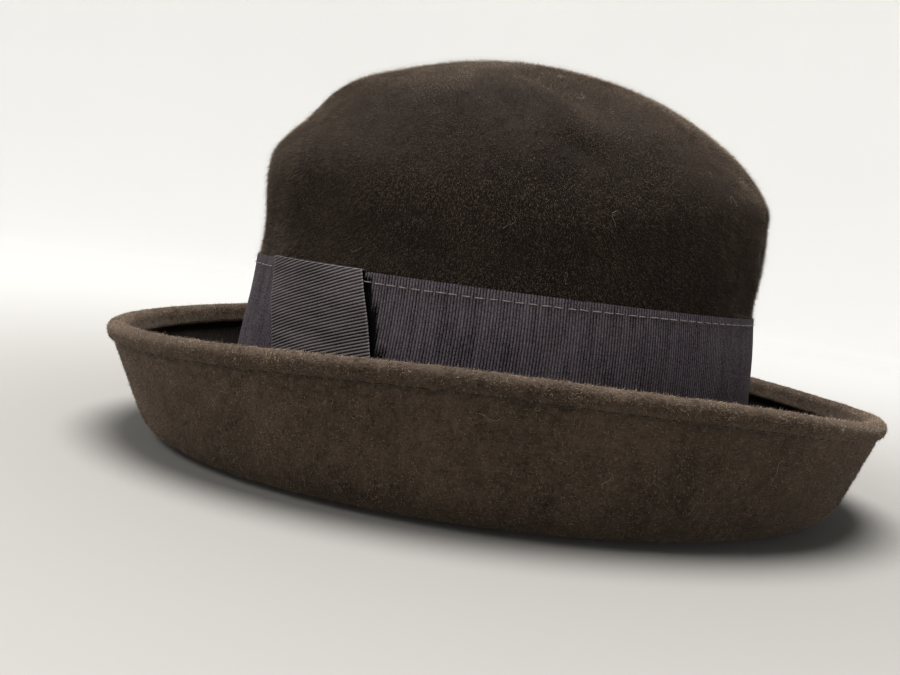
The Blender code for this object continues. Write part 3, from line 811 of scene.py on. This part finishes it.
bandMiddle = math.radians(band["middle"])
_, bandLength = openRound(bandMiddle, band["endGap"], halfWidth, 9)
ribs = round(bandLength / band["ribPitch"])
bandAngles, _ = openRound(bandMiddle, band["endGap"], halfWidth, ribs * band["perRib"] + 1)
# crest also sets the band's colour: painted highlight on the crests, painted shade in the grooves
bandCrest = ribCrest(np.arange(len(bandAngles)) / band["perRib"])
bandHeights = np.array([0.0, 0.5, 6.0, 13.0, 21.0, 29.0, 37.0, 45.0, 52.0, 59.0, 64.0, 66.9,
                        hat["bandWidth"] / mm]) * mm + bandLow
bandHeight, bandAngle = np.meshgrid(bandHeights, bandAngles, indexing="ij")
bandTurn = wallPoint(bandHeight, 0.0, bandAngle)
standOff = band["ease"] * np.clip(0.4 + 0.6 * waves(bandTurn, 38 * mm, 51), 0, None) \
    * ease((bandHeight - 20 * mm) / (30 * mm))
edge = edgeThin(bandHeight, bandLow, bandTop, 0.5 * mm)
rise = (bandHeight == bandHeights[-1]) * band["picot"] * (bandCrest - 0.6)
bandFront = wallPoint(bandHeight, bandOut + standOff - band["ribDepth"] * (1 - bandCrest) * 0.8
                      - 0.12 * mm * (1 - edge), bandAngle)
bandBack = wallPoint(bandHeight, hat["napUnderBand"] + standOff, bandAngle)
bandFront[..., 2] += rise
bandBack[..., 2] += rise
warpCount = (bandHeight - bandLow) / warpPitch
# under the loop, and a little past its back edge, the band is painted darker: painted shadow of the loop
shadowReach = hat["loopWidth"] / 2 + np.interp(bandHeight, loop["edgeHeights"], loop["backShift"]) \
    + band["shadowPast"] * (1.3 - (bandHeight - bandLow) / hat["bandWidth"]) \
    + 0.8 * mm * waves(bandTurn, 5 * mm, 53)
middleAngle, loopReach = loopMiddle(bandHeight)
fromLoop = (bandAngle - middleAngle) * loopReach
bandPaintedShadow = ease((shadowReach - fromLoop) / (1.2 * mm)) * (fromLoop > -hat["loopWidth"] / 2)
bandMesh = ribbonMesh("hatBand", bandFront, bandBack, {
    "crest": np.broadcast_to(bandCrest, bandHeight.shape), "warp": warpCount, "paintedShade": bandPaintedShadow})
bandPiece = addPiece("hatBand", bandMesh, bandGrosgrain, "band_grosgrain", "hat_band")
print("band", round(bandLength / mm, 1), "mm,", ribs, "ribs,", len(bandMesh.polygons))

loopGrosgrain = ribbonMaterial("loopGrosgrain", {
    "dark": tone(4, 4, 4), "pale": tone(128, 119, 121), "sheen": 0.0, "rough": 0.6, "gloss": 0.12,
    "sheenTint": (0.75, 0.7, 0.74, 1.0), "streak": (0.1, 0.1, 1.0), "shares": (0.72, 0.0, 0.34)})


def loopPath():
    # heights and offsets along the loop: up its face, over the band's top, down behind the band
    fold = bandTop + hat["gap"]
    face = loopOut - hat["ribbon"] / 2
    behind = hat["napUnderBand"] - hat["gap"] - hat["ribbon"] / 2
    up = np.arange(bandLow, fold, loop["rowStep"])
    bend = np.linspace(0.0, math.pi, 9)
    middle, radius = (face + behind) / 2, (face - behind) / 2
    over = np.stack([fold + loop["foldRise"] * radius * np.sin(bend), middle + radius * np.cos(bend)], -1)
    down = np.arange(fold - loop["rowStep"], bandTop - loop["tuck"], -loop["rowStep"] * 2)
    return np.concatenate([np.stack([up, np.full(len(up), face)], -1), over,
                           np.stack([down, np.full(len(down), behind)], -1)])


def loopGrid():
    path = loopPath()
    height, offset = path[:, 0][:, None], path[:, 1][:, None]
    share = np.linspace(-0.5, 0.5, loop["columns"])[None, :]
    middle, reach = loopMiddle(height)
    shift = np.where(share < 0, -2 * share * np.interp(height, loop["edgeHeights"], loop["frontShift"]),
                     2 * share * np.interp(height, loop["edgeHeights"], loop["backShift"]))
    angle = middle + (share * hat["loopWidth"] + shift) / reach
    travelled = pathLengths(path)[:, None]
    slope = math.radians(loop["ribSlope"])
    phase = (travelled * math.cos(slope) - share * hat["loopWidth"] * math.sin(slope)) / loop["ribPitch"]
    # crest also sets the loop's colour: painted highlight on the crests, painted shade in the grooves
    crest = ribCrest(phase, 2.6)
    isFace = ease((offset - hat["napUnderBand"]) / (0.6 * mm))
    low = 1 - ease((height - bandLow) / (55 * mm))
    lifted = loop["lift"] * ease((share - 0.05) / 0.45) * (0.35 + 0.65 * low) * isFace
    uneven = waves(wallPoint(height, offset, angle), 30 * mm, 61)
    lifted = lifted + 0.25 * mm * uneven * isFace * (share + 0.5)
    edge = ease((0.5 - np.abs(share)) * hat["loopWidth"] / (0.7 * mm))
    half = hat["ribbon"] / 2
    # scalloped selvedge: each rib's end stands a little further out than its groove
    scallop = 0.14 * mm * (crest - 0.5) * np.sign(share) * (np.abs(share) > 0.499) / reach
    direction = np.where(isFace > 0.5, 1.0, -1.0)
    front = offset + lifted + direction * (half - loop["ribDepth"] * (1 - crest) - 0.1 * mm * (1 - edge))
    back = offset + lifted - direction * half
    frontGrid = wallPoint(height + 0 * share, front, angle + scallop)
    backGrid = wallPoint(height + 0 * share, back, angle + scallop)
    # over the fold the ribbon's thickness points up
    foldHeight = loop["foldRise"] * (loopOut - hat["napUnderBand"])
    top = np.sin(np.clip((height - bandTop - hat["gap"]) / foldHeight, 0, 1) * math.pi / 2)
    frontGrid[..., 2] += half * top
    backGrid[..., 2] -= half * top * 0.6
    warp = (share * hat["loopWidth"] * math.cos(slope) + travelled * math.sin(slope)) / warpPitch
    # the selvedge is a pale twisted line at the very edge
    selvedge = ease((np.abs(share) * hat["loopWidth"] - loop["selvedge"]) / (0.5 * mm))
    selvedge = selvedge * (0.55 + 0.45 * crest)
    return frontGrid, backGrid, {"crest": np.maximum(crest, selvedge), "warp": warp}, travelled[-1, 0]


loopFront, loopBack, loopMarks, loopLength = loopGrid()
loopMesh = ribbonMesh("bandLoop", loopFront, loopBack, loopMarks)
loopPiece = addPiece("bandLoop", loopMesh, loopGrosgrain, "band_grosgrain", "band_loop")
print("loop", round(loopLength / mm, 1), "mm", len(loopMesh.polygons))

headBand = {
    "width": 28.0 * mm, "low": 2.0 * mm, "gap": 1.0 * mm,
    "ribPitch": 1.3 * mm, "ribDepth": 0.14 * mm, "perRib": 4,
}
headGrosgrain = ribbonMaterial("headGrosgrain", {
    "dark": tone(12, 10, 10), "pale": tone(66, 59, 59), "sheen": 0.0, "rough": 0.6, "gloss": 0.2,
    "sheenTint": (0.6, 0.56, 0.56, 1.0), "streak": (1.0, 1.0, 0.06), "shares": (0.5, 0.14, 0.25)})
_, headLength = openRound(math.pi, headBand["gap"], halfLength, 9)
headRibs = round(headLength / headBand["ribPitch"])
headAngles, _ = openRound(math.pi, headBand["gap"], halfLength, headRibs * headBand["perRib"] + 1)
# crest also sets this ribbon's colour: painted highlight on the crests, painted shade in the grooves
headCrest = ribCrest(np.arange(len(headAngles)) / headBand["perRib"])
headHeights = np.array([0.0, 0.5, 5.0, 11.0, 18.0, 24.0, 27.5, 28.0]) * mm + headBand["low"]
headHeight, headAngle = np.meshgrid(headHeights, headAngles, indexing="ij")
headEdge = edgeThin(headHeight, headHeights[0], headHeights[-1], 0.5 * mm)
headFront = wallPoint(headHeight, headRibbonIn + headBand["ribDepth"] * (1 - headCrest)
                      + 0.15 * mm * (1 - headEdge), headAngle)
headBack = wallPoint(headHeight, headRibbonOut, headAngle)
headMesh = ribbonMesh("headRibbon", headFront, headBack, {
    "crest": np.broadcast_to(headCrest, headHeight.shape), "warp": headHeight / warpPitch})
headPiece = addPiece("headRibbon", headMesh, headGrosgrain, "head_grosgrain", "head_ribbon")
print("head ribbon", round(headLength / mm, 1), "mm", len(headMesh.polygons))

label = {
    "width": 22.0 * mm, "height": 13.0 * mm, "low": 9.0 * mm, "thickness": 0.4 * mm, "angle": 168.0,
    "columns": 45, "rows": 27, "border": 1.1 * mm,
}
labelReach = (halfLength + halfWidth) / 2
labelShare = np.linspace(-0.5, 0.5, label["columns"])[None, :]
labelHeight = (label["low"] + label["height"] * np.linspace(0.0, 1.0, label["rows"]))[:, None]
labelAngle = math.radians(label["angle"]) + labelShare * label["width"] / labelReach
labelBorder = np.minimum(label["width"] * (0.5 - np.abs(labelShare)),
                         np.minimum(labelHeight - label["low"], label["low"] + label["height"] - labelHeight))
# raised woven border, a slightly puffed middle and corners that lift a little
labelPuff = 0.12 * mm * np.cos(math.pi * labelShare) + 0.08 * mm * (labelBorder < label["border"])
labelOut = headRibbonIn - hat["gap"] / 2
labelFront = wallPoint(labelHeight, labelOut - label["thickness"] - labelPuff, labelAngle)
labelBack = wallPoint(labelHeight, labelOut - 0.5 * labelPuff, labelAngle)
labelSatin = ribbonMaterial("labelSatin", {
    "dark": tone(150, 142, 130), "pale": tone(222, 216, 205), "sheen": 0.15, "rough": 0.35, "gloss": 0.5,
    "sheenTint": (1.0, 1.0, 1.0, 1.0), "streak": (1.0, 1.0, 0.1), "shares": (0.45, 0.14, 0.2)})
labelMesh = ribbonMesh("sizeLabel", labelFront, labelBack, {
    "crest": np.where(labelBorder < label["border"], 0.2, 1.0) + 0 * labelHeight,
    "warp": labelHeight / (0.3 * mm) + 0 * labelShare})
labelPiece = addPiece("sizeLabel", labelMesh, labelSatin, "label_satin", "size_label")

# stitches

paleThread = threadMaterial("paleThread", {"dark": tone(92, 86, 82), "pale": tone(148, 139, 131)})
darkThread = threadMaterial("darkThread", {"dark": tone(7, 5, 4), "pale": tone(26, 21, 18)})


def stitchMesh(name, line, out, stitch, seed):
    # short rounded threads along a line; each rises from the cloth and dips back into it
    # ring k of a stitch is at -cos of its share of a half turn, with a radius of its sine
    pitch, dash, radius = stitch["pitch"], stitch["dash"], stitch["radius"]
    rng = np.random.default_rng(seed)
    length = pathLengths(line)
    count = int((length[-1] - dash) / pitch)
    starts = (np.arange(count) + 0.5) * length[-1] / count + rng.normal(size=count) * 0.06 * pitch
    turns = np.linspace(0.0, math.pi, 7)[1:-1]
    where = starts[:, None] - np.cos(turns) * dash / 2 * (1 + 0.08 * rng.normal(size=(count, 1)))
    where = np.clip(where, 0, length[-1])

    def at(values, places):
        return np.stack([np.interp(places, length, values[:, k]) for k in range(3)], -1)

    normal = unit(at(out, where))
    along = unit(at(line, where + 0.2 * mm) - at(line, where - 0.2 * mm))
    across = np.cross(normal, along)
    arch = np.sin(turns)[None, :, None]
    shifted, turned = rng.normal(size=(2, count, 1, 1))
    centres = at(line, where) + normal * (radius * (0.9 * arch - 0.2) - stitch["sunk"]) \
        + across * stitch["wobble"] * (shifted + turned * np.cos(turns)[:, None])
    sides = np.arange(6) * fullTurn / 6
    thick = radius * np.sin(turns) ** 0.45
    rings = centres[:, :, None] + thick[None, :, None, None] * (
        np.cos(sides)[:, None] * normal[:, :, None] + np.sin(sides)[:, None] * across[:, :, None])
    ends = [centres[:, 0] - along[:, 0] * radius * 0.6 - normal[:, 0] * radius * 0.4,
            centres[:, -1] + along[:, -1] * radius * 0.6 - normal[:, -1] * radius * 0.4]
    points = np.concatenate([rings.reshape(count, -1, 3), np.stack(ends, 1)], 1)
    side = np.arange(6)
    tube = gridQuads(5, 6, wrapCols=True)
    capOne = np.stack([np.full(6, 30), (side + 1) % 6, side], -1)
    capTwo = np.stack([np.full(6, 31), 24 + side, 24 + (side + 1) % 6], -1)
    base = np.arange(count)[:, None, None] * 32
    caps = np.concatenate([capOne, capTwo])
    return makeMesh(name, points, [(base + tube).reshape(-1, 4), (base + caps).reshape(-1, 3)])


bandStitches = {
    "dropNear": 3.4 * mm, "dropFar": 2.3 * mm,     # below the band's edge at the loop and at the back
    "angles": (52.6, 383.5),       # from one edge of the loop to the other, degrees from the front
    "fall": (56.0, 85.0), "rise": (300.0, 80.0),   # where the drop changes: start and span in degrees
    "pitch": 4.25 * mm, "dash": 3.4 * mm, "radius": 0.19 * mm, "sunk": -0.05 * mm, "wobble": 0.05 * mm,
}
stitchDegrees = np.linspace(*bandStitches["angles"], 900)
stitchAngle = np.radians(stitchDegrees)
atBack, pastBack = (ease((stitchDegrees - start) / span)
                    for start, span in (bandStitches["fall"], bandStitches["rise"]))
stitchDrop = bandStitches["dropNear"] \
    + (bandStitches["dropFar"] - bandStitches["dropNear"]) * atBack * (1 - pastBack)
stitchLine = wallPoint(bandTop - stitchDrop, bandOut + 0.16 * mm, stitchAngle)
bandStitchMesh = stitchMesh("bandStitches", stitchLine, outward(stitchAngle), bandStitches, 71)
bandStitchPiece = addPiece("bandStitches", bandStitchMesh, paleThread, "pale_thread", "band_top_thread")

hemStitches = {"pitch": 4.6 * mm, "dash": 3.2 * mm, "radius": 0.27 * mm, "sunk": 0.05 * mm,
               "wobble": 0.06 * mm}
hemStitchMesh = stitchMesh("hemStitches", hemLine, outward(roundAngle), hemStitches, 72)
addPiece("hemStitches", hemStitchMesh, darkThread, "dark_thread", "brim_edge_thread")

headStitches = {"height": 4.5 * mm, "pitch": 3.4 * mm, "dash": 2.5 * mm, "radius": 0.22 * mm,
                "sunk": -0.02 * mm, "wobble": 0.03 * mm}
headLine = wallPoint(headStitches["height"], headRibbonIn, roundAngle)
headStitchMesh = stitchMesh("headRibbonStitches", headLine, -outward(roundAngle), headStitches, 73)
addPiece("headRibbonStitches", headStitchMesh, darkThread, "dark_thread", "head_ribbon_thread")

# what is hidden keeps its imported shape: the wire, its joiner, the crown's seam and the loop's tack
steel = steelMaterial("wireSteel")
for nodeName, material in (("brim_wire", steel), ("wire_joiner", steel),
                           ("crown_seam_thread", darkThread), ("loop_tack_thread", darkThread)):
    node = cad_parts[nodeName]
    node.data.materials.clear()
    node.data.materials.append(material)
print("stitches and hidden fittings")

# lint

lint = {"hairs": 60, "seed": 81, "length": (2.0 * mm, 7.0 * mm), "radius": 0.03 * mm,
        "specks": 240, "speck": 0.11 * mm}
lintFibre = threadMaterial("lintFibre", {"dark": tone(150, 142, 134), "pale": tone(214, 208, 200)})


def lintMesh():
    # loose hairs: thin three-sided tubes that curl away from the pile, and tiny eight-sided specks
    rng = np.random.default_rng(lint["seed"])
    chance = np.where((crownOuter[:-1, :, 2] + crownOuter[1:, :, 2]) / 2 > bandTop + 2 * mm, 1.0, 0.0)
    onCrown = scatterOn(crownOuter, chance, lint["hairs"] * 2 // 3, rng)
    shownRows = np.zeros(len(brimGrid) - 1)
    shownRows[len(stand) + len(gutter) + len(channel):-4] = 1.0
    onBrim = scatterOn(brimGrid, shownRows[:, None], lint["hairs"] // 3, rng)
    lifts = (1.3 * mm, 0.4 * mm)
    roots = np.concatenate([spots[0] for spots in (onCrown, onBrim)])
    out = np.concatenate([onCrown[1], onBrim[1]])
    out = np.where(((roots * (1, 1, 0)) * out).sum(1)[:, None] + out[:, 2:] * 0.05 < 0, -out, out)
    height = np.concatenate([np.full(len(spots[0]), lift) for spots, lift in zip((onCrown, onBrim), lifts)])
    count = len(roots)
    way = unit(rng.normal(size=(count, 3)))
    way = unit(way - out * (way * out).sum(1)[:, None])
    side = np.cross(out, way)
    length = rng.uniform(*lint["length"], count)
    share = np.linspace(0.0, 1.0, 9)[None, :, None]
    bend = rng.normal(size=(count, 1, 1)) * 0.7
    curl = rng.normal(size=(count, 1, 1)) * 0.25
    path = (roots + out * height[:, None])[:, None] + length[:, None, None] * (
        way[:, None] * (share - 0.5) + side[:, None] * (bend * (share - 0.5) ** 2 + curl * np.sin(5 * share))
        + out[:, None] * (0.10 * np.sin(math.pi * share) * rng.uniform(0, 1, (count, 1, 1))))
    sides = np.arange(3) * fullTurn / 3
    rings = path[:, :, None] + lint["radius"] * (np.cos(sides)[:, None] * out[:, None, None]
                                                + np.sin(sides)[:, None] * side[:, None, None])
    base = np.arange(count)[:, None, None] * 27
    tube = gridQuads(9, 3, wrapCols=True)
    caps = np.array([(0, 2, 1), (26, 24, 25)])
    # specks of dust caught in the tips of the pile
    dust = scatterOn(crownOuter, chance, lint["specks"] // 2, rng), \
        scatterOn(brimGrid, shownRows[:, None], lint["specks"] // 2, rng)
    spots = []
    for (points, normals, _, _), lift in zip(dust, lifts):
        facesIn = ((points * (1, 1, 0.2)) * normals).sum(1)[:, None] < 0
        spots.append(points + np.where(facesIn, -normals, normals) * lift)
    spots = np.concatenate(spots)
    axes = np.array([(1, 0, 0), (0, 1, 0), (-1, 0, 0), (0, -1, 0), (0, 0, 1), (0, 0, -1)])
    specks = spots[:, None] + axes * (lint["speck"] * rng.uniform(0.5, 1.2, (len(spots), 6, 1)))
    facets = np.array([(k, (k + 1) % 4, 4) for k in range(4)] + [((k + 1) % 4, k, 5) for k in range(4)])
    speckBase = np.arange(len(spots))[:, None, None] * 6 + count * 27
    return makeMesh("lint", np.concatenate([rings.reshape(-1, 3), specks.reshape(-1, 3)]), [
        (base + tube).reshape(-1, 4),
        np.concatenate([(base + caps).reshape(-1, 3), (speckBase + facets).reshape(-1, 3)])])


addPiece("lint", lintMesh(), lintFibre, "crown_velour")

# floor, light and camera

studio = {
    "floor": (1.5, 0.9),            # radius of the level floor, and of the curve that rises round it
    "near": tone(126, 123, 119), "far": tone(236, 235, 232),
    "glow": 0.4,                   # the backdrop's own light
    "paler": (0.1, 1.5),            # distances over which the floor turns from near to far
    "world": 0.06,
    # place, aimed at, size, watts
    "lights": [
        ((-0.02, -0.06, 1.30), (0.0, 0.0, 0.1), 0.9, 42.0),
        ((0.45, -0.85, 0.95), (0.0, 0.0, 0.08), 0.5, 7.0),
    ],
}
floorMaterial, floorPlace, feedFloor = newMaterial("paleFloor", {"Specular IOR Level": 0.1})
floorPatch = floorPlace.noise(3.0, 2.0).spread(0.3, 0.7)
floorReach = floorPlace.node("ShaderNodeVectorMath", {"operation": "LENGTH"}, {0: floorPlace}, "Value")
# painted light and shade: the floor is darker near the hat and turns paler far off, where it also glows
farShare = floorReach.spread(*studio["paler"])
floorColour = (farShare * (0.97 + 0.03 * floorPatch)).mixed(studio["near"], studio["far"])
feedFloor(colour=floorColour, rough=0.9 + 0.05 * floorPatch,
          glow=farShare.mixed((0.0, 0.0, 0.0, 1.0), studio["far"]))
floorMaterial.node_tree.nodes["Principled BSDF"].inputs["Emission Strength"].default_value = studio["glow"]
levelRadius, riseRadius = studio["floor"]
bend = np.linspace(0.0, math.pi / 2, 14)
reach = np.concatenate([[0.02, 0.3, 0.8], levelRadius + riseRadius * np.sin(bend)])
rises = np.concatenate([[0.0, 0.0, 0.0], riseRadius * (1 - np.cos(bend))])
floorTurn = np.arange(96) * fullTurn / 96
floorGrid = np.stack([reach[:, None] * np.cos(floorTurn), reach[:, None] * np.sin(floorTurn),
                      rises[:, None] + 0 * floorTurn], -1)
floorMesh = bpy.data.meshes.new("floor")
floorQuads = gridQuads(*floorGrid.shape[:2], wrapCols=True)[:, ::-1]
floorMesh.from_pydata(floorGrid.reshape(-1, 3).tolist(), [], floorQuads.tolist() + [list(range(96))])
floorMesh.shade_smooth()
floorMesh.materials.append(floorMaterial)
floor = bpy.data.objects.new("floor", floorMesh)
bpy.context.scene.collection.objects.link(floor)

world = bpy.data.worlds.new("studio")
world.use_nodes = True
world.node_tree.nodes["Background"].inputs["Color"].default_value = tone(250, 250, 248)
world.node_tree.nodes["Background"].inputs["Strength"].default_value = studio["world"]
bpy.context.scene.world = world


def facing(place, target):
    # a turn whose -Z axis points from the place to the target
    ahead = unit(np.array(target, float) - np.array(place, float))
    right = unit(np.cross(ahead, (0.0, 0.0, 1.0)))
    up = np.cross(right, ahead)
    return Matrix([(*row, shift) for row, shift in zip(np.stack([right, up, -ahead], -1).tolist(), place)]
                  + [(0, 0, 0, 1)])


for number, (place, target, size, watts) in enumerate(studio["lights"], 1):
    lamp = bpy.data.lights.new(f"softbox{number}", "AREA")
    lamp.shape, lamp.size, lamp.energy = "DISK", size, watts
    lampObject = bpy.data.objects.new(f"softbox{number}", lamp)
    bpy.context.scene.collection.objects.link(lampObject)
    lampObject.matrix_world = facing(place, target)
    lampObject.visible_camera = False

view = {
    "place": (399.4 * mm, -73.5 * mm, 81.6 * mm),
    # degrees: towards the back from straight across the hat, down from level, and turned about the line
    "heading": 7.51, "dip": 4.84, "roll": 7.63,
    "lens": 40.0,
}
camera = bpy.data.cameras.new("camera")
camera.lens, camera.sensor_width, camera.clip_start = view["lens"], 36.0, 0.01
cameraObject = bpy.data.objects.new("camera", camera)
bpy.context.scene.collection.objects.link(cameraObject)
heading, dip = math.radians(view["heading"]), math.radians(view["dip"])
ahead = (-math.cos(heading) * math.cos(dip), math.sin(heading) * math.cos(dip), -math.sin(dip))
turned = Matrix.Rotation(math.radians(view["roll"]), 4, "Z")
cameraObject.matrix_world = facing(view["place"], np.add(view["place"], ahead)) @ turned
bpy.context.scene.camera = cameraObject
